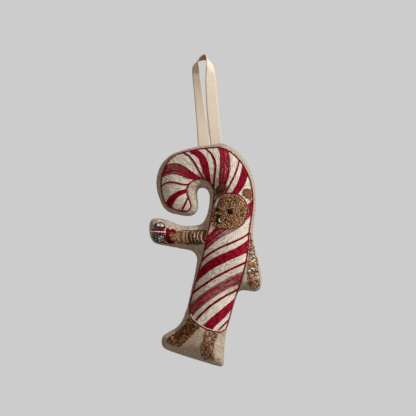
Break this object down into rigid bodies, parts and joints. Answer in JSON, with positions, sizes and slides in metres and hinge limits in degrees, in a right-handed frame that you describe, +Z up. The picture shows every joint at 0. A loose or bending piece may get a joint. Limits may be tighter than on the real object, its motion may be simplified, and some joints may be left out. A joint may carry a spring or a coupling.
{
  "type": "hanging ornament",
  "caption": "Stuffed linen ornament of a dog in a striped candy-cane suit, machine embroidered on the front, with a cotton tape hanging loop.",
  "frame": {"origin": "where a hook touches the underside of the tape, at the top of the loop", "axes": "+Z up along the hanging ornament, -Y out of the embroidered front, +X to the right as the front is seen"},
  "size_m": [0.0905, 0.0264, 0.2498],
  "materials": {
    "linen": "plain-woven natural linen, matt",
    "cotton_tape": "cream cotton twill tape, matt",
    "fibre_fill": "loose white fibre filling",
    "backing_cloth": "white non-woven embroidery backing",
    "sewing_thread": "spun sewing thread",
    "cream_thread": "cream embroidery thread in short rows",
    "red_thread": "crimson embroidery thread, soft sheen along the stitches",
    "brown_thread": "brown embroidery thread in curled stitches",
    "dark_brown_thread": "dark brown embroidery thread",
    "golden_brown_thread": "golden brown embroidery thread",
    "black_thread": "near-black embroidery thread",
    "grey_thread": "grey embroidery thread"
  },
  "bodies": {
    "loop": {"hanging_loop": "cotton_tape"},
    "ornament": {"front_panel": "linen", "back_panel": "linen", "stuffing": "fibre_fill", "embroidery_backing": "backing_cloth", "loop_end_left": "cotton_tape", "loop_end_right": "cotton_tape", "seam_thread": "sewing_thread", "closing_thread": "sewing_thread", "cane_fill": "cream_thread", "cane_outline": "red_thread", "wide_stripe_1": "red_thread", "wide_stripe_2": "red_thread", "wide_stripe_3": "red_thread", "wide_stripe_4": "red_thread", "wide_stripe_5": "red_thread", "wide_stripe_6_upper": "red_thread", "wide_stripe_6_lower": "red_thread", "wide_stripe_7": "red_thread", "wide_stripe_8": "red_thread", "wide_stripe_9": "red_thread", "thin_stripe_1": "red_thread", "thin_stripe_2": "red_thread", "thin_stripe_3": "red_thread", "thin_stripe_4": "red_thread", "thin_stripe_5": "red_thread", "thin_stripe_6": "red_thread", "thin_stripe_7": "red_thread", "thin_stripe_8": "red_thread", "thin_stripe_9": "red_thread", "hood_outline": "red_thread", "head": "brown_thread", "left_ear": "dark_brown_thread", "right_ear": "golden_brown_thread", "left_eye": "black_thread", "right_eye": "black_thread", "nose": "black_thread", "mouth": "black_thread", "front_arm_fur": "brown_thread", "rear_arm_fur": "brown_thread", "left_leg_fur": "brown_thread", "right_leg_fur": "brown_thread", "parcel_top": "cream_thread", "parcel_base": "grey_thread", "parcel_band": "red_thread", "parcel_bow": "red_thread"}
  },
  "joints": [
    {"name": "loop_fold", "type": "hinge", "parent": "loop", "child": "ornament", "pos_m": [0.00367, 0, -0.06876], "axis": [0.9917, 0, 0.1283], "range_deg": [-90, 90]}
  ]
}
